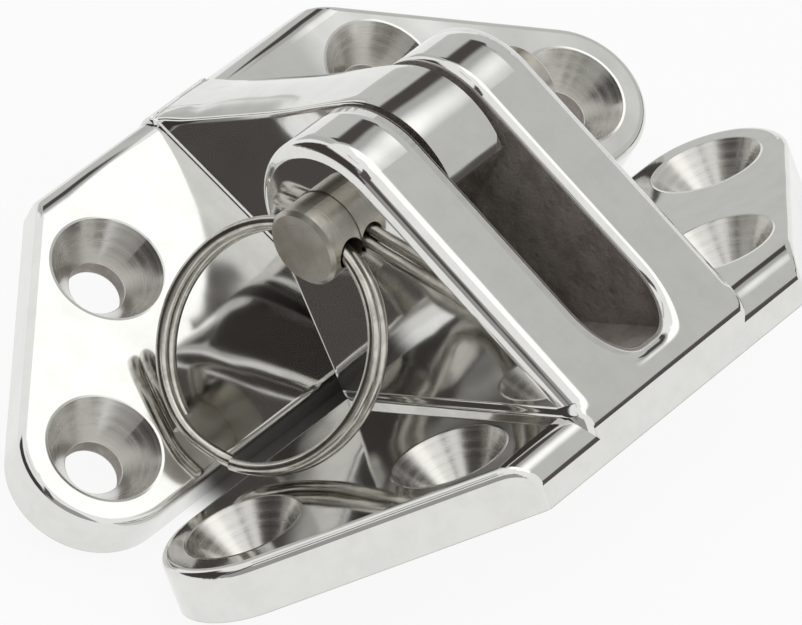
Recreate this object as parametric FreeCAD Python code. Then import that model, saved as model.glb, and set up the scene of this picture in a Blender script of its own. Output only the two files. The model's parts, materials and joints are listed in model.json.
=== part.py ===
import FreeCAD, Part
import math
import os

# Take-apart hatch hinge in polished cast stainless steel, in millimetres.
# Two mirrored leaves turn on one loose pin, which a split ring draws out.
# Each leaf is drawn flat: X along the pin, V outward from its hinge-side edge,
# W up from its underside. It is then turned up into its place.
# Row frame: X along the pin, +Y over the base leaf, +Z up, floor at Z = 0.

V = FreeCAD.Vector
X_AXIS = V(1, 0, 0)
Y_AXIS = V(0, 1, 0)
Z_AXIS = V(0, 0, 1)
ORIGIN = V(0, 0, 0)

# Leaf plate, the same for both leaves
leaf_t = 4.8
leaf_depth = 28.9
back_half_w = 17.4
front_hole_x = 31.1
front_corner_r = 7.4
rear_hole_x = 18.0
rear_hole_v = 19.8
edge_round = 0.8
back_round = 2.6

# Countersunk screw holes
screw_hole_d = 5.0
sink_rim_d = 10.0
sink_depth = 3.4
rim_round = 0.25

# Pin axis above each leaf, knuckles and their back slope
pin_v = 6.9
pin_w = 21.8
knuckle_r = 7.9
slope_deg = 55.0
leaf_tilt_deg = 25.2

# Fork on the hatch leaf
slot_half_w = 4.0
arm_t = 6.9
slot_end_v = 27.6
slot_corner_r = 3.2
arm_round = 1.2
slot_round = 0.4

# Centre web on the base leaf
web_half_t = 1.65
web_front_v = 2.0
web_base_fillet = 1.9
knuckle_side_gap = 0.7
knuckle_round = 0.7
collar_r = 8.4
collar_sweep = 4.6

# Pin, its ball catch and its ring
pin_d = 7.1
bore_clearance = 0.05
pin_near_out = 3.6
pin_chamfer = 0.35
ring_hole_d = 2.8
ring_hole_out = 1.35
ring_wire_d = 1.15
ring_mid_r = 10.4
ring_coil_gap = 0.05
ring_lean_deg = 38.5
ring_drop = 0.3
ring_step_deg = 34.0
ring_end_gap_deg = 4.0
ring_step_at_deg = 188.0
ball_d = 2.8
ball_proud = 0.4
ball_seat_gap = 0.02
ball_hole_clearance = 0.05
ball_lip = 0.35
ball_arm_gap = 0.3
pin_end_wall = 1.1
ball_hole_top = 2.3
spring_wire_d = 0.35
spring_mid_r = 0.95
spring_turns = 4.5

fork_half_w = slot_half_w + arm_t
knuckle_half_w = slot_half_w - knuckle_side_gap
bore_r = pin_d / 2 + bore_clearance
tilt = math.radians(leaf_tilt_deg)
slope = math.radians(slope_deg)
pin_height = pin_w * math.cos(tilt) + pin_v * math.sin(tilt)
ring_hole_x = -(fork_half_w + ring_hole_out)
ball_x = fork_half_w + ball_arm_gap + ball_d / 2


def polar(cx, cy, r, a):
    """The point at radius r and angle a (radians) round (cx, cy)."""
    return (cx + r * math.cos(a), cy + r * math.sin(a))


def side(p, x):
    return V(x, p[0], p[1])


def tangent_angle(cx, cy, r, px, py, turn):
    """Angle on a circle where the tangent through an outer point touches it."""
    aim = math.atan2(py - cy, px - cx)
    return aim + turn * math.acos(r / math.hypot(px - cx, py - cy))


def plan_outline():
    """The six-sided plate outline with round front corners, as a face."""
    lean = tangent_angle(front_hole_x, front_corner_r, front_corner_r,
                         back_half_w, leaf_depth, -1)
    touch = polar(front_hole_x, front_corner_r, front_corner_r, lean)
    bulge = polar(front_hole_x, front_corner_r, front_corner_r,
                  (lean - math.pi / 2) / 2)
    edges = []
    for s in (1, -1):
        start = V(s * front_hole_x, 0, 0)
        middle = V(s * bulge[0], bulge[1], 0)
        end = V(s * touch[0], touch[1], 0)
        edges.append(Part.Arc(start, middle, end).toShape())
        edges.append(Part.makeLine(end, V(s * back_half_w, leaf_depth, 0)))
    for v, half in ((0, front_hole_x), (leaf_depth, back_half_w)):
        edges.append(Part.makeLine(V(-half, v, 0), V(half, v, 0)))
    return Part.Face(Part.Wire(Part.__sortEdges__(edges)))


def across(points_face, half_w):
    """A side-view face, drawn at x = 0, made solid from -half_w to half_w."""
    face = points_face.translated(V(-half_w, 0, 0))
    return face.extrude(V(2 * half_w, 0, 0))


def back_trim():
    """Side view of the plate with its back edge rounded over."""
    r = back_round
    c = (leaf_depth - r, leaf_t - r)
    a = side((leaf_depth, c[1]), 0)
    b = side(polar(c[0], c[1], r, math.pi / 4), 0)
    d = side((c[0], leaf_t), 0)
    corners = [side((0, leaf_t), 0), side((0, 0), 0), side((leaf_depth, 0), 0), a]
    edges = [Part.makeLine(d, corners[0])]
    for p, q in zip(corners, corners[1:]):
        edges.append(Part.makeLine(p, q))
    edges.append(Part.Arc(a, b, d).toShape())
    return Part.Face(Part.Wire(edges))


def cast_edges(shape):
    """The plate's upper rim and its two upright back corners."""
    found = []
    for e in shape.Edges:
        box = e.BoundBox
        at_bottom = box.ZMax < 0.01
        along_back = box.XLength > back_half_w and box.YMin > leaf_depth / 2
        if not (at_bottom or along_back):
            found.append(e)
    return found


def hole_places():
    places = []
    for s in (-1, 1):
        places.append((s * front_hole_x, front_corner_r))
        places.append((s * rear_hole_x, rear_hole_v))
    return places


def screw_cut(x, v):
    """One countersunk screw hole, with its rim eased."""
    r_rim = sink_rim_d / 2
    r_hole = screw_hole_d / 2
    floor = leaf_t - sink_depth
    ease = rim_round
    section = [V(0, 0, -1), V(r_hole, 0, -1), V(r_hole, 0, floor),
               V(r_rim, 0, leaf_t), V(r_rim + ease, 0, leaf_t + ease),
               V(r_rim + ease, 0, leaf_t + 1), V(0, 0, leaf_t + 1), V(0, 0, -1)]
    cut = Part.Face(Part.makePolygon(section)).revolve(ORIGIN, Z_AXIS, 360)
    return cut.translated(V(x, v, 0))


def leaf_plate():
    body = plan_outline().extrude(V(0, 0, leaf_t))
    body = body.common(across(back_trim(), front_hole_x + front_corner_r + 1))
    body = body.makeFillet(edge_round, cast_edges(body))
    for x, v in hole_places():
        body = body.cut(screw_cut(x, v))
    return body


def stand_profile(front_line):
    """Side view of an arm or web: front face, knuckle, slope, back face.

    front_line holds the front face's points above the floor, the last of
    them on the knuckle's circle.
    """
    a_back = math.pi / 2 - slope
    top = polar(pin_v, pin_w, knuckle_r, math.pi * 0.6)
    back = polar(pin_v, pin_w, knuckle_r, a_back)
    drop = (knuckle_r - (leaf_depth - pin_v) * math.sin(slope)) / math.cos(slope)
    foot_w = pin_w + drop
    # The slope rounds over into the back face.
    turn = math.pi / 2 - slope
    reach = back_round * math.tan(turn / 2)
    start = (leaf_depth - reach * math.cos(slope), foot_w + reach * math.sin(slope))
    end = (leaf_depth, foot_w - reach)
    centre = (leaf_depth - back_round, end[1])
    middle = polar(centre[0], centre[1], back_round, turn / 2)
    line = [side(p, 0) for p in [end, (leaf_depth, 0)] + front_line]
    edges = []
    for p, q in zip(line, line[1:]):
        edges.append(Part.makeLine(p, q))
    edges.append(Part.Arc(line[-1], side(top, 0), side(back, 0)).toShape())
    edges.append(Part.makeLine(side(back, 0), side(start, 0)))
    edges.append(Part.Arc(side(start, 0), side(middle, 0), side(end, 0)).toShape())
    return Part.Face(Part.Wire(edges))


def arm_profile():
    """The arms' fronts lean out from the plate's edge to the knuckle."""
    a_front = tangent_angle(pin_v, pin_w, knuckle_r, 0, leaf_t, -1)
    touch = polar(pin_v, pin_w, knuckle_r, a_front)
    return stand_profile([(0, 0), (0, leaf_t), touch])


def web_profile():
    """The web's front is flat and upright, and cuts the knuckle's front off."""
    rise = math.sqrt(knuckle_r ** 2 - (pin_v - web_front_v) ** 2)
    return stand_profile([(web_front_v, 0), (web_front_v, pin_w + rise)])


def rim_edges(shape, half_w, above=0.5):
    """Edges that lie in the two outer side planes, above the underside."""
    found = []
    for e in shape.Edges:
        box = e.BoundBox
        flat = box.XLength < 0.001 and abs(abs(box.XMin) - half_w) < 0.001
        if flat and box.ZMax > above:
            found.append(e)
    return found


def pin_bore(half_w):
    start = V(-half_w - 1, pin_v, pin_w)
    return Part.makeCylinder(bore_r, 2 * half_w + 2, start, X_AXIS)


def slot_cut():
    """The slot between the arms, open at the front, round at its closed end."""
    high = pin_w + knuckle_r
    box = Part.makeBox(2 * slot_half_w, slot_end_v + 10, high,
                       V(-slot_half_w, -10, leaf_t))
    ends = []
    for e in box.Edges:
        b = e.BoundBox
        if b.ZLength > high / 2 and b.YMin > slot_end_v / 2:
            ends.append(e)
    return box.makeFillet(slot_corner_r, ends)


def hatch_leaf():
    fork = across(arm_profile(), fork_half_w)
    fork = fork.makeFillet(arm_round, rim_edges(fork, fork_half_w))
    fork = fork.cut(slot_cut())
    body = leaf_plate().fuse(fork)
    return body.cut(pin_bore(fork_half_w)).removeSplitter()


def collar():
    """The centre knuckle, flaring down to the thin web, turned on the pin axis."""
    r0 = collar_r - knuckle_round
    sweep_r = (knuckle_half_w - web_half_t) / 2
    r1 = collar_r + collar_sweep
    half = []
    for s in (1, -1):
        shoulder = V(s * knuckle_half_w, 0, r0)
        low = V(s * web_half_t, 0, r1)
        mid = V(s * (web_half_t + sweep_r), 0, (r0 + r1) / 2)
        curve = Part.BSplineCurve()
        curve.interpolate([shoulder, mid, low],
                          InitialTangent=V(0, 0, 1), FinalTangent=V(0, 0, 1))
        half.append((shoulder, low, curve.toShape()))
    (a, b, up), (c, d, down) = half
    edges = [Part.makeLine(V(c.x, 0, 0), V(a.x, 0, 0)),
             Part.makeLine(V(a.x, 0, 0), a), up, Part.makeLine(b, d),
             down, Part.makeLine(c, V(c.x, 0, 0))]
    face = Part.Face(Part.Wire(Part.__sortEdges__(edges)))
    return face.revolve(ORIGIN, X_AXIS, 360).translated(V(0, pin_v, pin_w))


def web_section():
    """Cross-section of the web: thin, with a concave flare at its foot."""
    r = web_base_fillet
    wide = web_half_t + r
    high = pin_w + knuckle_r
    edges = []
    for s in (1, -1):
        foot = V(s * wide, 0, leaf_t)
        bend = V(s * (wide - r * math.sin(math.pi / 4)), 0,
                 leaf_t + r - r * math.cos(math.pi / 4))
        neck = V(s * web_half_t, 0, leaf_t + r)
        edges.append(Part.makeLine(V(s * wide, 0, 0), foot))
        edges.append(Part.Arc(foot, bend, neck).toShape())
        edges.append(Part.makeLine(neck, V(s * web_half_t, 0, high)))
    edges.append(Part.makeLine(V(-wide, 0, 0), V(wide, 0, 0)))
    edges.append(Part.makeLine(V(-web_half_t, 0, high), V(web_half_t, 0, high)))
    return Part.Face(Part.Wire(Part.__sortEdges__(edges)))


def base_leaf():
    knuckle = across(web_profile(), knuckle_half_w).common(collar())
    web = web_section().extrude(V(0, leaf_depth, 0))
    web = web.common(across(web_profile(), web_half_t + web_base_fillet + 1))
    body = leaf_plate().fuse(web).fuse(knuckle)
    return body.cut(pin_bore(fork_half_w)).removeSplitter()


def stood_up(leaf, toward):
    """Tilt a flat leaf about the pin axis and stand it on its lower edge."""
    shape = leaf.translated(V(0, -pin_v, -pin_w))
    if toward < 0:
        shape.rotate(ORIGIN, Z_AXIS, 180)
    shape.rotate(ORIGIN, X_AXIS, toward * leaf_tilt_deg)
    return shape.translated(V(0, 0, pin_height))


def ball_centre_z():
    return -(pin_d / 2 + ball_proud - ball_d / 2)


def pin():
    x0 = -(fork_half_w + pin_near_out)
    x1 = ball_x + ball_d / 2 + ball_hole_clearance + pin_end_wall
    body = Part.makeCylinder(pin_d / 2, x1 - x0, V(x0, 0, 0), X_AXIS)
    body = body.makeChamfer(pin_chamfer, [e for e in body.Edges
                                          if e.BoundBox.XLength < 0.001])
    across_hole = Part.makeCylinder(ring_hole_d / 2, pin_d + 2,
                                    V(ring_hole_x, -pin_d / 2 - 1, 0), Y_AXIS)
    body = body.cut(across_hole)
    # The ball's blind hole, staked narrower at its mouth to hold the ball.
    r_ball = ball_d / 2
    r_hole = r_ball + ball_hole_clearance
    zc = ball_centre_z()
    lip_top = -pin_d / 2 + ball_lip
    below = zc - ball_seat_gap - lip_top
    r_mouth = math.sqrt(r_ball ** 2 - below ** 2)
    mouth = Part.makeCylinder(r_mouth, pin_d, V(ball_x, 0, lip_top - pin_d), Z_AXIS)
    well = Part.makeCylinder(r_hole, ball_hole_top - lip_top,
                             V(ball_x, 0, lip_top), Z_AXIS)
    return body.cut(mouth).cut(well).translated(V(0, 0, pin_height))


def detent_ball():
    place = V(ball_x, 0, pin_height + ball_centre_z())
    return Part.makeSphere(ball_d / 2, place)


def swept_wire(points, wire_r):
    """A round wire along a smooth curve through points."""
    curve = Part.BSplineCurve()
    curve.interpolate(points)
    path = Part.Wire(curve.toShape())
    start = curve.value(curve.FirstParameter)
    heading = curve.tangent(curve.FirstParameter)[0]
    ring = Part.Wire(Part.makeCircle(wire_r, start, heading))
    return path.makePipeShell([ring], True, False)


def detent_spring():
    """The small coil spring between the ball and the end of its hole."""
    reach = ball_d / 2 + spring_wire_d / 2 + ball_seat_gap
    rise = math.sqrt(reach ** 2 - spring_mid_r ** 2)
    z0 = ball_centre_z() + rise
    z1 = ball_hole_top - spring_wire_d / 2 - ball_seat_gap
    steps = int(spring_turns * 12)
    points = []
    for i in range(steps + 1):
        a = 2 * math.pi * spring_turns * i / steps
        z = z0 + (z1 - z0) * i / steps
        points.append(V(ball_x + spring_mid_r * math.cos(a),
                        spring_mid_r * math.sin(a), pin_height + z))
    return swept_wire(points, spring_wire_d / 2)


def pull_ring():
    """Two close coils of wire with one step across, hung through the pin."""
    pitch = ring_wire_d + ring_coil_gap
    total = 720.0 - ring_step_deg - ring_end_gap_deg
    count = int(total / 10)
    points = []
    for i in range(count + 1):
        a = total * i / count
        # The wire steps across to the second coil at the end of the first.
        u = (a - (360.0 - ring_step_deg)) / ring_step_deg
        u = min(max(u, 0.0), 1.0)
        across_ring = pitch * (u * u * (3 - 2 * u) - 0.5)
        turn = math.radians(a + ring_step_at_deg)
        points.append(V(across_ring, ring_mid_r * math.sin(turn),
                        ring_mid_r * math.cos(turn)))
    ring = swept_wire(points, ring_wire_d / 2)
    # The top of the ring lies in the cross hole, and the ring leans outward.
    ring = ring.translated(V(0, 0, ring_drop - ring_mid_r))
    ring.rotate(ORIGIN, Y_AXIS, ring_lean_deg)
    return ring.translated(V(ring_hole_x, 0, pin_height))


def build():
    return {
        "base_leaf": stood_up(base_leaf(), 1),
        "hatch_leaf": stood_up(hatch_leaf(), -1),
        "hinge_pin": pin(),
        "pull_ring": pull_ring(),
        "detent_ball": detent_ball(),
        "detent_spring": detent_spring(),
    }


os.makedirs("parts", exist_ok=True)
for name, shape in build().items():
    shape.exportStep("parts/" + name + ".step")
    print(name, "valid", shape.isValid(), "solids", len(shape.Solids),
          "volume %.1f" % shape.Volume)
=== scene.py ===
import json
import math

import bpy
from mathutils import Matrix, Vector


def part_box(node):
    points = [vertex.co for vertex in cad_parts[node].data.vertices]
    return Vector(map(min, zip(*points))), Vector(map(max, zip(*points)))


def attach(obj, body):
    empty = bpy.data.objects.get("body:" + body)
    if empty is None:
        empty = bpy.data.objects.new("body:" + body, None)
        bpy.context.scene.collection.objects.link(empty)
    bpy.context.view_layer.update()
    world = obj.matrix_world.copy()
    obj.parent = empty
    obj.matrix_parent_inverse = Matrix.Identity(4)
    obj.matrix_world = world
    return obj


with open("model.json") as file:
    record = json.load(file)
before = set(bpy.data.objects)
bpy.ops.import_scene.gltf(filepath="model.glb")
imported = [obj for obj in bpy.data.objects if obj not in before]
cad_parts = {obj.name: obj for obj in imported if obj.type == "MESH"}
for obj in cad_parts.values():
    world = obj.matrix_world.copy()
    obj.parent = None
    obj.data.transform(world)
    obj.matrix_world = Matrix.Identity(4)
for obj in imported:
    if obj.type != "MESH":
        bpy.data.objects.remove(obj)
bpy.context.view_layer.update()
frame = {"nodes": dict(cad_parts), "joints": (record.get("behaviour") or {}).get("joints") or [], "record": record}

# Take-apart hatch hinge in polished cast stainless steel, in metres.
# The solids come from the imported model; this script gives them their steel,
# and builds the studio round them.

PHOTO_SIZE = (802, 625)
MM = 0.001

# Camera, read off the photograph's lines
CAMERA_AZIMUTH = math.radians(-49.92)
CAMERA_ELEVATION = math.radians(40.18)
CAMERA_ROLL = math.radians(-0.12)
CAMERA_DISTANCE = 586.7 * MM
CAMERA_AIM = Vector((5.11, 5.68, 0.0)) * MM
PHOTO_FOCAL_PX = 6696.35
SENSOR_WIDTH = 36.0

# Steel tones, linear
CAST_TONE = (0.76, 0.757, 0.735)
CLOUD_TONE = (0.715, 0.712, 0.69)
GROUND_TONE = (0.55, 0.54, 0.51)
SATIN_TONE = (0.62, 0.605, 0.565)
AS_CAST_TONE = (0.30, 0.265, 0.24)
SAND_TONE = (0.45, 0.41, 0.375)
PIN_TONE = (0.52, 0.50, 0.455)
TARNISH_TONE = (0.38, 0.345, 0.285)
RING_TONE = (0.60, 0.585, 0.535)
RING_DARK_TONE = (0.44, 0.42, 0.375)
BALL_TONE = (0.66, 0.66, 0.66)
BALL_DULL_TONE = (0.52, 0.52, 0.51)
SPRING_TONE = (0.50, 0.50, 0.50)
SPRING_DARK_TONE = (0.34, 0.34, 0.33)

# Leaves: V runs out from the hinge-side edge, W up from the underside
LEAF_TILT = math.radians(25.2)
PLATE_THICK = 4.8 * MM
HOLE_R = 2.5 * MM
SINK_R = 5.25 * MM
KNUCKLE_R = 7.9 * MM
BORE_R = 3.6 * MM
PIN_R = 3.55 * MM
PIN_OUT = 6.9 * MM
PIN_UP = 21.8 * MM

# Fork: its slot, and the edges that polishing rolled over, with their end slopes
SLOT_HALF = 4.0 * MM
SLOT_REACH = 20.7 * MM
SLOT_CORNER = 3.2 * MM
SLOT_ROLL = 1.4 * MM
SLOT_ROLL_SLOPE = 1.1
ARM_ROLL_FROM = 8.7 * MM
ARM_ROLL = 0.9 * MM
ARM_ROLL_SLOPE = 0.35

# Web: from its front end, past the line where it leaves the knuckle, to its foot
WEB_FRONT_V = 1.95 * MM
WEB_TANGENT_V = 13.37 * MM
WEB_TANGENT_W = 26.33 * MM
WEB_FOOT_V = 28.9 * MM
WEB_FOOT_W = 4.15 * MM
WEB_BACK_GAP = 0.45 * MM
WEB_SUNK = 0.3 * MM
WEB_HALF_FOOT = 3.7 * MM
WEB_HALF_TOP = 3.36 * MM
WEB_EDGE_R = 0.5 * MM
WEB_EDGE_TURN = math.radians(72)
WEB_EDGE_STEPS = 4
WEB_CROWN_R = 8.0 * MM
WEB_CROWN_DEPTH = 1.5
WEB_CROWN_STEPS = 6
WEB_CROWN_FULL_V = 19.5 * MM
WEB_KNUCKLE_DROP = 0.4 * MM
WEB_LIFT = 0.74 * MM
WEB_LEAST_LIFT = 0.05 * MM
WEB_LIFT_V = (9.5 * MM, 14.5 * MM)
WEB_FADE_V = (24 * MM, 28.2 * MM)
WEB_FADE = 0.85
WEB_STATIONS = 40

# Shallow dish of the base plate beside the web, with its slope at the web
DISH_WIDE = 12.0 * MM
DISH_SLOPE = 0.18

# Depths of the marks in the steel's surface
WAVE_DEPTH = 0.11 * MM
BUFFED_DEPTH = 0.0002 * MM
TURNED_DEPTH = 0.004 * MM
SAND_DEPTH = 0.10 * MM
PIN_LINE_DEPTH = 0.006 * MM
PIN_GRAIN_DEPTH = 0.012 * MM

# Floor, and the painted shadow on it under the pin (a darker floor colour standing in for a contact shadow): full
# and clear half sizes
FLOOR_HALF = 4.0
FLOOR_TONE = (0.85, 0.85, 0.85)
PAINTED_SHADOW_TONE = (0.30, 0.29, 0.28)
PAINTED_SHADOW_X = (22 * MM, 27 * MM)
PAINTED_SHADOW_Y = (3 * MM, 8 * MM)
WHITE_SHARE = 0.9

WHITE = (1.0, 1.0, 1.0, 1.0)

# Cards on the white studio dome, later ones over earlier: azimuth from +Y toward +X and
# elevation of the middle, half width, half height, slant, soft edge (degrees), and tone
CARDS = {
    "softbox": (105, 66, 60, 14.5, 0, 3, 1.4),
    "side_sheet": (86, 20, 62, 33, 0, 5, 0.62),
    "far_sheet": (55, 44, 22, 7, 0, 4, 0.48),
    "dark_shelf": (47, 36, 15, 9, 0, 4, 0.08),
    "left_wall": (-82, 10, 68, 37, 0, 5, 0.38),
    "dark_stripe": (-101, 43, 9, 25, -0.45, 3, 0.10),
    "dark_room": (-50, 22, 36, 21, 0, 4, 0.06),
    "ceiling_gap": (-60, 72, 32, 3, 0, 2, 0.55),
    "doorway": (18, 26, 12, 25, 0, 4, 0.55),
    "skirting": (128, 3, 34, 8, 0, 3, 0.10),
}

# Darker cards turn browner below this tone
BROWN_BELOW = 0.45


def rgba(tone):
    return (tone[0], tone[1], tone[2], 1.0)


def look_from(azimuth, elevation, roll):
    """Direction out to the camera, and the camera's rotation."""
    back = Vector((math.sin(azimuth) * math.cos(elevation),
                   -math.cos(azimuth) * math.cos(elevation),
                   math.sin(elevation)))
    turn = (-back).to_track_quat("-Z", "Y").to_matrix()
    return back, turn @ Matrix.Rotation(roll, 3, "Z")


def add_camera():
    data = bpy.data.cameras.new("camera")
    data.sensor_width = SENSOR_WIDTH
    data.sensor_fit = "HORIZONTAL"
    data.lens = PHOTO_FOCAL_PX * SENSOR_WIDTH / PHOTO_SIZE[0]
    data.clip_start = CAMERA_DISTANCE / 10
    data.clip_end = CAMERA_DISTANCE * 10
    camera = bpy.data.objects.new("camera", data)
    back, turn = look_from(CAMERA_AZIMUTH, CAMERA_ELEVATION, CAMERA_ROLL)
    camera.matrix_world = (Matrix.Translation(CAMERA_AIM + back * CAMERA_DISTANCE)
                           @ turn.to_4x4())
    bpy.context.scene.collection.objects.link(camera)
    bpy.context.scene.camera = camera


class Nodes:
    """A short hand for adding and wiring shader nodes in one tree."""

    COLOR_A = 6
    COLOR_B = 7
    COLOR_RESULT = 2
    VALUE_A = 2
    VALUE_B = 3

    def __init__(self, tree):
        self.tree = tree

    def put(self, value, socket):
        """Wires a socket's value to this socket, or sets a plain value on it."""
        if isinstance(value, bpy.types.NodeSocket):
            self.tree.links.new(value, socket)
        else:
            socket.default_value = value

    def add(self, kind, values=None, **settings):
        node = self.tree.nodes.new(kind)
        for name, value in settings.items():
            setattr(node, name, value)
        for name, value in (values or {}).items():
            self.put(value, node.inputs[name])
        return node

    def math(self, operation, a, b=0.0):
        return self.add("ShaderNodeMath", {0: a, 1: b}, operation=operation).outputs[0]

    def vector(self, operation, a, b=(0.0, 0.0, 0.0), output=0):
        node = self.add("ShaderNodeVectorMath", {0: a, 1: b}, operation=operation)
        return node.outputs[output]

    def ramp(self, value, low, high):
        """0 at low, 1 at high, smooth between; low may be the larger."""
        node = self.add("ShaderNodeMapRange",
                        {"Value": value, "From Min": low, "From Max": high},
                        interpolation_type="SMOOTHSTEP", clamp=True)
        return node.outputs["Result"]

    def mix(self, share, a, b):
        node = self.add("ShaderNodeMix", {"Factor": share, self.COLOR_A: a, self.COLOR_B: b},
                        data_type="RGBA")
        return node.outputs[self.COLOR_RESULT]

    def mix_value(self, share, a, b):
        node = self.add("ShaderNodeMix", {"Factor": share, self.VALUE_A: a, self.VALUE_B: b},
                        data_type="FLOAT")
        return node.outputs[0]

    def group(self, tree, values):
        return self.add("ShaderNodeGroup", values, node_tree=tree).outputs

    def steel(self, tone, metal, roughness, height=None):
        """Finishes the material: polished or rough metal, with its surface relief."""
        values = {"Base Color": tone, "Metallic": metal, "Roughness": roughness}
        if height is not None:
            values["Normal"] = self.add("ShaderNodeBump", {
                "Strength": 1.0, "Distance": 1.0, "Height": height}).outputs[0]
        shader = self.add("ShaderNodeBsdfPrincipled", values)
        self.add("ShaderNodeOutputMaterial", {"Surface": shader.outputs[0]})


def new_material(name):
    material = bpy.data.materials.new(name)
    material.use_nodes = True
    material.node_tree.nodes.clear()
    return material, Nodes(material.node_tree)


def new_group(name, inputs, outputs):
    """A shader node group with named sockets: (name, kind, default) rows."""
    tree = bpy.data.node_groups.new(name, "ShaderNodeTree")
    for label, kind, default in inputs:
        socket = tree.interface.new_socket(label, in_out="INPUT", socket_type=kind)
        socket.default_value = default
    for label, kind in outputs:
        tree.interface.new_socket(label, in_out="OUTPUT", socket_type=kind)
    n = Nodes(tree)
    return tree, n, n.add("NodeGroupInput").outputs, n.add("NodeGroupOutput").inputs


FLOAT = "NodeSocketFloat"
VECTOR = "NodeSocketVector"


def turned_rings_group():
    """Fine concentric tool marks round an axis, and how near the axis a point is."""
    tree, n, given, result = new_group(
        "turned_rings",
        [("Position", VECTOR, (0, 0, 0)), ("Centre", VECTOR, (0, 0, 0)),
         ("Axis", VECTOR, (0, 0, 1)), ("Spacing", FLOAT, 0.2 * MM)],
        [("Distance", FLOAT), ("Marks", FLOAT)])
    arm = n.vector("SUBTRACT", given["Position"], given["Centre"])
    along = n.vector("DOT_PRODUCT", arm, given["Axis"], output=1)
    shaft = n.add("ShaderNodeVectorMath", {0: given["Axis"], "Scale": along},
                  operation="SCALE").outputs[0]
    out = n.vector("SUBTRACT", arm, shaft)
    distance = n.vector("LENGTH", out, output=1)
    steps = n.math("DIVIDE", distance, given["Spacing"])
    marks = n.add("ShaderNodeTexNoise", {"W": steps, "Scale": 1.0, "Detail": 2.0},
                  noise_dimensions="1D")
    n.put(distance, result["Distance"])
    n.put(marks.outputs[0], result["Marks"])
    return tree


def polish_group():
    """Buffed cast steel: slow waves, haze and short fine buffing lines."""
    tree, n, given, result = new_group(
        "buffed_polish",
        [("Position", VECTOR, (0, 0, 0)), ("Run", VECTOR, (1, 0.1, 1))],
        [("Waves", FLOAT), ("Haze", FLOAT), ("Lines", FLOAT)])
    waves = n.add("ShaderNodeTexNoise", {"Vector": given["Position"], "Scale": 120.0,
                                         "Detail": 1.0, "Roughness": 0.4})
    haze = n.add("ShaderNodeTexNoise", {"Vector": given["Position"], "Scale": 420.0,
                                        "Detail": 5.0, "Roughness": 0.6})
    drawn = n.vector("MULTIPLY", given["Position"], given["Run"])
    lines = n.add("ShaderNodeTexNoise", {"Vector": drawn, "Scale": 5200.0,
                                         "Detail": 3.0, "Roughness": 0.65})
    n.put(waves.outputs[0], result["Waves"])
    n.put(haze.outputs[0], result["Haze"])
    n.put(lines.outputs[0], result["Lines"])
    return tree


def sand_cast_group():
    """The skin that the mould leaves: sand grain, pits and brown stain."""
    tree, n, given, result = new_group(
        "sand_cast_skin", [("Position", VECTOR, (0, 0, 0))],
        [("Grain", FLOAT), ("Stain", FLOAT)])
    grain = n.add("ShaderNodeTexNoise", {"Vector": given["Position"], "Scale": 2100.0,
                                         "Detail": 6.0, "Roughness": 0.7})
    pits = n.add("ShaderNodeTexVoronoi", {"Vector": given["Position"], "Scale": 900.0})
    pitted = n.ramp(pits.outputs["Distance"], 0.05, 0.45)
    grain_with_pits = n.math("MULTIPLY", grain.outputs[0], n.math("ADD", pitted, 0.6))
    stain = n.add("ShaderNodeTexNoise", {"Vector": given["Position"], "Scale": 330.0,
                                         "Detail": 4.0, "Roughness": 0.6})
    n.put(grain_with_pits, result["Grain"])
    n.put(n.ramp(stain.outputs[0], 0.35, 0.68), result["Stain"])
    return tree


def leaf_axes(toward):
    """The leaf's own outward and upward directions, in the row frame."""
    outward = Vector((0, toward * math.cos(LEAF_TILT), math.sin(LEAF_TILT)))
    upward = Vector((0, -toward * math.sin(LEAF_TILT), math.cos(LEAF_TILT)))
    return outward, upward


def sink_places(leaf):
    """Centres of the two countersinks on the pin's far side, and their axis."""
    places = []
    for pattern in ("_front_screws", "_rear_screws"):
        mount = [m for m in MOUNTS if m["name"] == leaf + pattern][0]
        axis = Vector(mount["axis"])
        centre = Vector(mount["pos_m"])
        half = mount["dims"]["pcd_mm"] / 2 * MM
        places.append(centre + Vector((half, 0, 0)))
    return places, axis


def bend(n, distance, width, slope):
    """Height of a surface that bends away over a width, up to a slope."""
    square = n.math("MULTIPLY", distance, distance)
    return n.math("MULTIPLY", square, 0.5 * slope / width)


def countersinks(n, leaf, place, x_off, height, rings):
    """Masks of the sinks and the holes, and the tool marks; both sides folded onto one."""
    apart = n.add("ShaderNodeSeparateXYZ", {0: place})
    folded = n.add("ShaderNodeCombineXYZ", {0: x_off, 1: apart.outputs["Y"],
                                            2: apart.outputs["Z"]}).outputs[0]
    centres, axis = sink_places(leaf)
    front, rear = [n.group(rings, {"Position": folded, "Centre": centre, "Axis": axis,
                                   "Spacing": 0.28 * MM}) for centre in centres]
    closer = n.math("LESS_THAN", rear["Distance"], front["Distance"])
    marks = n.mix_value(closer, front["Marks"], rear["Marks"])
    nearest = n.math("MINIMUM", front["Distance"], rear["Distance"])
    in_sink = n.math("MULTIPLY", n.ramp(nearest, SINK_R, SINK_R - 0.3 * MM),
                     n.ramp(height, 0.6 * MM, 1.0 * MM))
    in_hole = n.ramp(nearest, HOLE_R + 0.08 * MM, HOLE_R - 0.02 * MM)
    return in_sink, in_hole, marks


def web_dish(n, x_off, height):
    """The plate is dished beside the web, where the buffing wheel turned up."""
    near_web = n.math("MAXIMUM", n.math("SUBTRACT", WEB_HALF_FOOT + DISH_WIDE, x_off), 0.0)
    rise = bend(n, near_web, DISH_WIDE, DISH_SLOPE)
    on_plate = n.ramp(height, PLATE_THICK + 0.6 * MM, PLATE_THICK + 0.2 * MM)
    return n.math("MULTIPLY", rise, on_plate)


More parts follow.
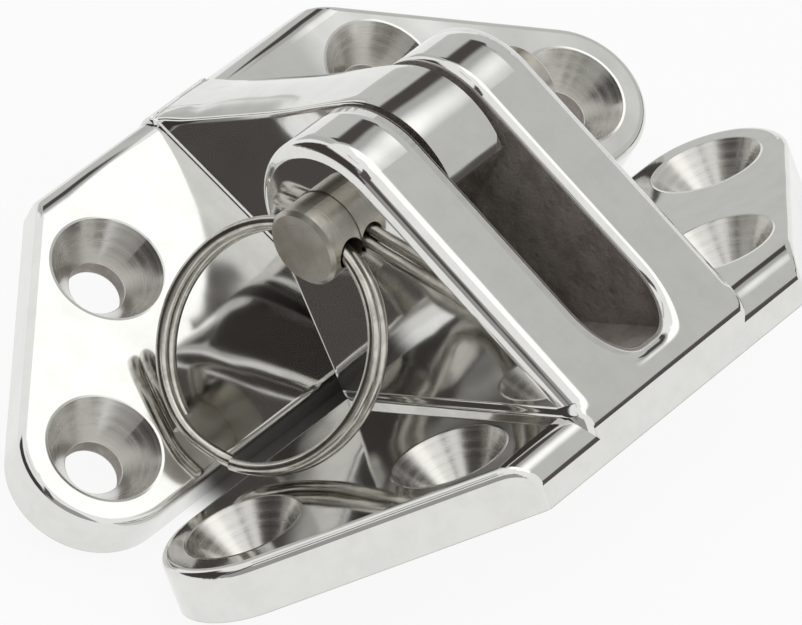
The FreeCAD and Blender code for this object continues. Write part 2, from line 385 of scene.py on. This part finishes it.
def fork_slot(n, x_off, reach, height):
    """Mask of the slot's cast walls, and the rolled edges of slot and arms."""
    beside = n.math("MAXIMUM", n.math("SUBTRACT", x_off, SLOT_HALF - SLOT_CORNER), 0.0)
    beyond = n.math("MAXIMUM", n.math("SUBTRACT", reach, SLOT_REACH - SLOT_CORNER), 0.0)
    corner = n.math("SQRT", n.math("ADD", n.math("MULTIPLY", beside, beside),
                                   n.math("MULTIPLY", beyond, beyond)))
    outside = n.math("SUBTRACT", corner, SLOT_CORNER)
    walls = n.math("MULTIPLY", n.ramp(outside, 0.25 * MM, 0.02 * MM),
                   n.ramp(height, PLATE_THICK - 0.3 * MM, PLATE_THICK - 0.1 * MM))
    near_slot = n.math("MAXIMUM", n.math("SUBTRACT", SLOT_ROLL, outside), 0.0)
    slot_fall = bend(n, near_slot, SLOT_ROLL, -SLOT_ROLL_SLOPE)
    past = n.math("MAXIMUM", n.math("SUBTRACT", x_off, ARM_ROLL_FROM), 0.0)
    bent = n.math("MINIMUM", past, ARM_ROLL)
    straight = n.math("MULTIPLY", n.math("SUBTRACT", past, bent), -ARM_ROLL_SLOPE)
    arm_fall = n.math("ADD", bend(n, bent, ARM_ROLL, -ARM_ROLL_SLOPE), straight)
    rim = n.math("MULTIPLY", n.math("ADD", slot_fall, arm_fall),
                 n.ramp(height, PLATE_THICK, PLATE_THICK + MM))
    return walls, rim


def leaf_steel(leaf, toward, groups):
    """Polished faces, turned countersinks, rough inner and ground under sides."""
    material, n = new_material("cast_steel_" + leaf)
    place = n.add("ShaderNodeTexCoord").outputs["Object"]
    outward, upward = leaf_axes(toward)
    hub = Vector((0, 0, PIN_HEIGHT))
    from_pin = n.vector("SUBTRACT", place, hub)
    reach = n.vector("DOT_PRODUCT", from_pin, outward, output=1)
    height = n.math("ADD", n.vector("DOT_PRODUCT", from_pin, upward, output=1), PIN_UP)
    x_off = n.math("ABSOLUTE", n.add("ShaderNodeSeparateXYZ", {0: place}).outputs["X"])

    in_sink, in_hole, marks = countersinks(n, leaf, place, x_off, height, groups["rings"])
    bore = n.group(groups["rings"], {"Position": place, "Centre": hub,
                                     "Axis": (1.0, 0.0, 0.0), "Spacing": 0.3 * MM})
    in_bore = n.ramp(bore["Distance"], BORE_R + 0.12 * MM, BORE_R + 0.03 * MM)
    under = n.ramp(height, 0.12 * MM, 0.02 * MM)
    if leaf == "base":
        rough = in_hole
        rim = web_dish(n, x_off, height)
    else:
        walls, rim = fork_slot(n, x_off, reach, height)
        rough = n.math("MAXIMUM", in_hole, walls)

    polish = n.group(groups["polish"], {"Position": place})
    sand = n.group(groups["sand"], {"Position": place})
    cloudy = n.ramp(polish["Haze"], 0.35, 0.75)
    bright = n.mix(cloudy, rgba(CAST_TONE), rgba(CLOUD_TONE))
    turned = n.mix(marks, rgba(SATIN_TONE), rgba(CAST_TONE))
    skin = n.mix(sand["Stain"], rgba(SAND_TONE), rgba(AS_CAST_TONE))
    ground = n.mix(polish["Lines"], rgba(GROUND_TONE), rgba(CLOUD_TONE))
    tone = n.mix(in_sink, bright, turned)
    tone = n.mix(n.math("MAXIMUM", rough, in_bore), tone, skin)
    tone = n.mix(under, tone, ground)

    gloss = n.math("ADD", n.math("MULTIPLY", polish["Haze"], 0.05), 0.045)
    gloss_sink = n.math("ADD", n.math("MULTIPLY", marks, 0.14), 0.17)
    gloss_skin = n.math("ADD", n.math("MULTIPLY", sand["Grain"], 0.22), 0.36)
    gloss_ground = n.math("ADD", n.math("MULTIPLY", polish["Lines"], 0.16), 0.24)
    roughness = n.mix_value(in_sink, gloss, gloss_sink)
    roughness = n.mix_value(rough, roughness, gloss_skin)
    roughness = n.mix_value(under, roughness, gloss_ground)

    shape = n.math("ADD", n.math("MULTIPLY", polish["Waves"], WAVE_DEPTH), rim)
    shape = n.math("ADD", shape, n.math("MULTIPLY", polish["Lines"], BUFFED_DEPTH))
    shape = n.mix_value(in_sink, shape, n.math("MULTIPLY", marks, TURNED_DEPTH))
    shape = n.mix_value(rough, shape, n.math("MULTIPLY", sand["Grain"], SAND_DEPTH))
    n.steel(tone, n.mix_value(rough, 1.0, 0.35), roughness, shape)
    return material


def turned_pin(groups):
    """Satin turned steel: lines round the barrel, rings on the ends, tarnish."""
    material, n = new_material("satin_pin")
    place = n.add("ShaderNodeTexCoord").outputs["Object"]
    hub = Vector((0, 0, PIN_HEIGHT))
    ends = n.group(groups["rings"], {"Position": place, "Centre": hub,
                                     "Axis": (1.0, 0.0, 0.0), "Spacing": 0.16 * MM})
    apart = n.add("ShaderNodeSeparateXYZ", {0: place})
    lines = n.add("ShaderNodeTexNoise", {"W": apart.outputs["X"], "Scale": 5200.0,
                                         "Detail": 3.0}, noise_dimensions="1D")
    on_barrel = n.ramp(ends["Distance"], PIN_R - 0.25 * MM, PIN_R - 0.15 * MM)
    marks = n.mix_value(on_barrel, ends["Marks"], lines.outputs[0])
    sand = n.group(groups["sand"], {"Position": place})
    tarnish = n.math("MULTIPLY", sand["Stain"], 0.75)
    tone = n.mix(tarnish, rgba(PIN_TONE), rgba(TARNISH_TONE))
    roughness = n.math("ADD", n.math("MULTIPLY", marks, 0.14), 0.24)
    shape = n.math("ADD", n.math("MULTIPLY", marks, PIN_LINE_DEPTH),
                   n.math("MULTIPLY", sand["Grain"], PIN_GRAIN_DEPTH))
    n.steel(tone, 1.0, roughness, shape)
    return material


def drawn_wire(name, tone_light, tone_dark, centre, axis, gloss, groups):
    """Cold drawn wire: long scratches round its coil, darker where it is dull."""
    material, n = new_material(name)
    place = n.add("ShaderNodeTexCoord").outputs["Object"]
    coil = n.group(groups["rings"], {"Position": place, "Centre": centre,
                                     "Axis": axis, "Spacing": 0.07 * MM})
    polish = n.group(groups["polish"], {"Position": place})
    dull = n.ramp(polish["Haze"], 0.4, 0.65)
    tone = n.mix(dull, rgba(tone_light), rgba(tone_dark))
    roughness = n.math("ADD", n.math("MULTIPLY", coil["Marks"], 0.16), gloss)
    n.steel(tone, 1.0, roughness, n.math("MULTIPLY", coil["Marks"], TURNED_DEPTH))
    return material


def bearing_ball(groups):
    """Ground ball, a little clouded."""
    material, n = new_material("ball_steel")
    place = n.add("ShaderNodeTexCoord").outputs["Object"]
    polish = n.group(groups["polish"], {"Position": place})
    tone = n.mix(n.ramp(polish["Haze"], 0.4, 0.7), rgba(BALL_TONE), rgba(BALL_DULL_TONE))
    roughness = n.math("ADD", n.math("MULTIPLY", polish["Haze"], 0.08), 0.03)
    n.steel(tone, 1.0, roughness)
    return material


def dress(node, material):
    """Puts a material in every slot of a CAD node."""
    solid = frame["nodes"][node]
    for slot in solid.material_slots:
        slot.material = material


def eased(value, low, high):
    """0 below low, 1 above high, smooth between."""
    u = min(max((value - low) / (high - low), 0.0), 1.0)
    return u * u * (3 - 2 * u)


def web_fade(v):
    """How much of its lift and crown the web keeps near its foot."""
    return 1 - WEB_FADE * eased(v, *WEB_FADE_V)


def web_height(v):
    """Top of the web above the leaf's underside, at v out from its front edge."""
    lift = WEB_LIFT * eased(v, *WEB_LIFT_V) * web_fade(v) - WEB_KNUCKLE_DROP
    if v >= WEB_TANGENT_V:
        run = (WEB_FOOT_V - v) / (WEB_FOOT_V - WEB_TANGENT_V)
        straight = WEB_FOOT_W + (WEB_TANGENT_W - WEB_FOOT_W) * run
        return straight + max(lift, WEB_LEAST_LIFT)
    across = KNUCKLE_R ** 2 - (v - PIN_OUT) ** 2
    return PIN_UP + math.sqrt(max(across, 0.0)) + lift


def web_section(v):
    """Cross-section of the web at v: a drafted wall, a rounded edge, a crown."""
    top = web_height(v)
    low = PLATE_THICK - WEB_SUNK
    draft = (WEB_HALF_FOOT - WEB_HALF_TOP) / PIN_UP
    half_top = WEB_HALF_FOOT - draft * (top - low)
    flat = half_top - WEB_EDGE_R
    crown = eased(v, WEB_TANGENT_V, WEB_CROWN_FULL_V) * web_fade(v)
    bow = WEB_CROWN_R - math.sqrt(WEB_CROWN_R ** 2 - half_top ** 2)
    sag = WEB_CROWN_DEPTH * bow * crown
    shoulder = top - sag * (flat / half_top) ** 2
    right = [(WEB_HALF_FOOT, low), (half_top, max(shoulder - 2.5 * WEB_EDGE_R, low))]
    for i in range(WEB_EDGE_STEPS + 1):
        a = math.pi / 2 - WEB_EDGE_TURN * i / WEB_EDGE_STEPS
        right.append((flat + WEB_EDGE_R * math.sin(a),
                      max(shoulder - WEB_EDGE_R + WEB_EDGE_R * math.cos(a), low)))
    for i in range(1, WEB_CROWN_STEPS):
        x = flat * (1 - i / WEB_CROWN_STEPS)
        right.append((x, top - sag * (x / half_top) ** 2))
    left = [(-x, w) for x, w in reversed(right)]
    return right + [(0.0, top)] + left


def crowned_web(material):
    """The web under the centre knuckle: as wide as it, with a crowned ridge."""
    outward, upward = leaf_axes(1)
    corner = Vector((0, 0, PIN_HEIGHT)) - outward * PIN_OUT - upward * PIN_UP
    length = WEB_FOOT_V - WEB_BACK_GAP - WEB_FRONT_V
    points = []
    for i in range(WEB_STATIONS + 1):
        v = WEB_FRONT_V + length * i / WEB_STATIONS
        section = web_section(v)
        for x, w in section:
            points.append(corner + Vector((x, 0, 0)) + outward * v + upward * w)
    count = len(section)
    faces = []
    for i in range(WEB_STATIONS):
        for j in range(count - 1):
            a = i * count + j
            faces.append((a, a + 1, a + count + 1, a + count))
    faces.append(tuple(reversed(range(count))))
    faces.append(tuple(range(WEB_STATIONS * count, (WEB_STATIONS + 1) * count)))
    mesh = bpy.data.meshes.new("crowned_web")
    mesh.from_pydata(points, [], faces)
    mesh.update()
    for face in mesh.polygons:
        face.use_smooth = len(face.vertices) == 4
    web = bpy.data.objects.new("crowned_web", mesh)
    bpy.context.scene.collection.objects.link(web)
    mesh.materials.append(material)
    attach(web, "base_leaf")


def add_floor():
    """A pale floor, white where it is seen, that keeps the object's shadow, with a painted shadow in its colour
    under the pin.
    """
    half = FLOOR_HALF
    mesh = bpy.data.meshes.new("floor")
    corners = [(-half, -half, 0), (half, -half, 0), (half, half, 0), (-half, half, 0)]
    mesh.from_pydata(corners, [], [(0, 1, 2, 3)])
    floor = bpy.data.objects.new("floor", mesh)
    bpy.context.scene.collection.objects.link(floor)
    material, n = new_material("pale_floor")
    glow = n.add("ShaderNodeEmission", {"Color": WHITE, "Strength": 1.0})
    path = n.add("ShaderNodeLightPath")
    seen = n.math("MAXIMUM", path.outputs["Is Camera Ray"], path.outputs["Is Glossy Ray"])
    seen = n.math("MAXIMUM", seen, path.outputs["Is Transmission Ray"])
    place = n.add("ShaderNodeSeparateXYZ", {0: n.add("ShaderNodeNewGeometry").outputs[0]})
    # Painted shadow under the pin: the floor colour darkens there, and its white glow is turned off there too
    along = n.ramp(n.math("ABSOLUTE", place.outputs["X"]), *PAINTED_SHADOW_X)
    beside = n.ramp(n.math("ABSOLUTE", place.outputs["Y"]), *PAINTED_SHADOW_Y)
    clear = n.math("MAXIMUM", along, beside)
    tone = n.mix(clear, rgba(PAINTED_SHADOW_TONE), rgba(FLOOR_TONE))
    plain = n.add("ShaderNodeBsdfDiffuse", {"Color": tone})
    share = n.math("MULTIPLY", n.math("MULTIPLY", seen, clear), WHITE_SHARE)
    both = n.add("ShaderNodeMixShader",
                 {"Fac": share, 1: plain.outputs[0], 2: glow.outputs[0]})
    n.add("ShaderNodeOutputMaterial", {"Surface": both.outputs[0]})
    mesh.materials.append(material)


def card_group():
    """A soft-edged window of the dome in azimuth and elevation, as a mask."""
    tree, n, given, result = new_group(
        "studio_card",
        [("Azimuth", FLOAT, 0.0), ("Elevation", FLOAT, 0.0),
         ("Middle Azimuth", FLOAT, 0.0), ("Middle Elevation", FLOAT, 0.0),
         ("Half Width", FLOAT, 20.0), ("Half Height", FLOAT, 20.0),
         ("Slant", FLOAT, 0.0), ("Softness", FLOAT, 3.0)],
        [("Mask", FLOAT)])
    rise = n.math("SUBTRACT", given["Elevation"], given["Middle Elevation"])
    turn = n.math("SUBTRACT", given["Azimuth"], given["Middle Azimuth"])
    turn = n.math("SUBTRACT", turn, n.math("MULTIPLY", rise, given["Slant"]))
    turn = n.add("ShaderNodeMath", {0: turn, 1: 180.0, 2: -180.0},
                 operation="WRAP").outputs[0]
    mask = None
    for off, size in ((turn, "Half Width"), (rise, "Half Height")):
        inner = n.math("SUBTRACT", given[size], given["Softness"])
        edge = n.ramp(n.math("ABSOLUTE", off), given[size], inner)
        mask = edge if mask is None else n.math("MULTIPLY", mask, edge)
    n.put(mask, result["Mask"])
    return tree


def add_world():
    """A white dome with grey and dark cards, and white behind the object."""
    world = bpy.data.worlds.new("studio")
    bpy.context.scene.world = world
    world.use_nodes = True
    world.node_tree.nodes.clear()
    n = Nodes(world.node_tree)
    direction = n.add("ShaderNodeTexCoord").outputs["Generated"]
    part = n.add("ShaderNodeSeparateXYZ", {0: direction}).outputs
    to_degrees = math.degrees(1.0)
    azimuth = n.math("MULTIPLY", n.math("ARCTAN2", part["X"], part["Y"]), to_degrees)
    elevation = n.math("MULTIPLY", n.math("ARCSINE", part["Z"]), to_degrees)
    card = card_group()
    tone = WHITE
    for turn, rise, wide, high, slant, soft, grey in CARDS.values():
        mask = n.group(card, {
            "Azimuth": azimuth, "Elevation": elevation, "Middle Azimuth": float(turn),
            "Middle Elevation": float(rise), "Half Width": float(wide),
            "Half Height": float(high), "Slant": float(slant),
            "Softness": float(soft)})["Mask"]
        light = min(grey / BROWN_BELOW, 1.0)
        tone = n.mix(mask, tone, (grey, grey * (0.88 + 0.12 * light),
                                  grey * (0.85 + 0.13 * light), 1.0))
    path = n.add("ShaderNodeLightPath")
    tone = n.mix(path.outputs["Is Camera Ray"], tone, WHITE)
    background = n.add("ShaderNodeBackground", {"Color": tone, "Strength": 1.0})
    n.add("ShaderNodeOutputWorld", {"Surface": background.outputs[0]})


bpy.context.scene.view_settings.view_transform = "Standard"
add_camera()
add_world()
add_floor()
MOUNTS = frame["record"]["mounts"]
JOINTS = {joint["name"]: joint for joint in frame["joints"]}
RING_PIVOT = JOINTS["ring_swing"]["pos_m"]
PIN_HEIGHT = RING_PIVOT[2]
ring_low, ring_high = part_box("pull_ring")
RING_EYE = [(ring_low[i] + ring_high[i]) / 2 for i in range(3)]
ball_low, ball_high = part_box("detent_ball")
BALL_X = (ball_low[0] + ball_high[0]) / 2

GROUPS = {"rings": turned_rings_group(), "polish": polish_group(),
          "sand": sand_cast_group()}
ring_centre = Vector(RING_EYE)
ring_axis = (ring_centre - Vector(RING_PIVOT)).cross(Vector((0, 1, 0))).normalized()
base_steel = leaf_steel("base", 1, GROUPS)
dress("base_leaf", base_steel)
crowned_web(base_steel)
dress("hatch_leaf", leaf_steel("hatch", -1, GROUPS))
dress("hinge_pin", turned_pin(GROUPS))
dress("pull_ring", drawn_wire("ring_wire", RING_TONE, RING_DARK_TONE, ring_centre,
                              ring_axis, 0.13, GROUPS))
dress("detent_ball", bearing_ball(GROUPS))
dress("detent_spring", drawn_wire("spring_wire", SPRING_TONE, SPRING_DARK_TONE,
                                  Vector((BALL_X, 0, PIN_HEIGHT)), (0.0, 0.0, 1.0),
                                  0.2, GROUPS))
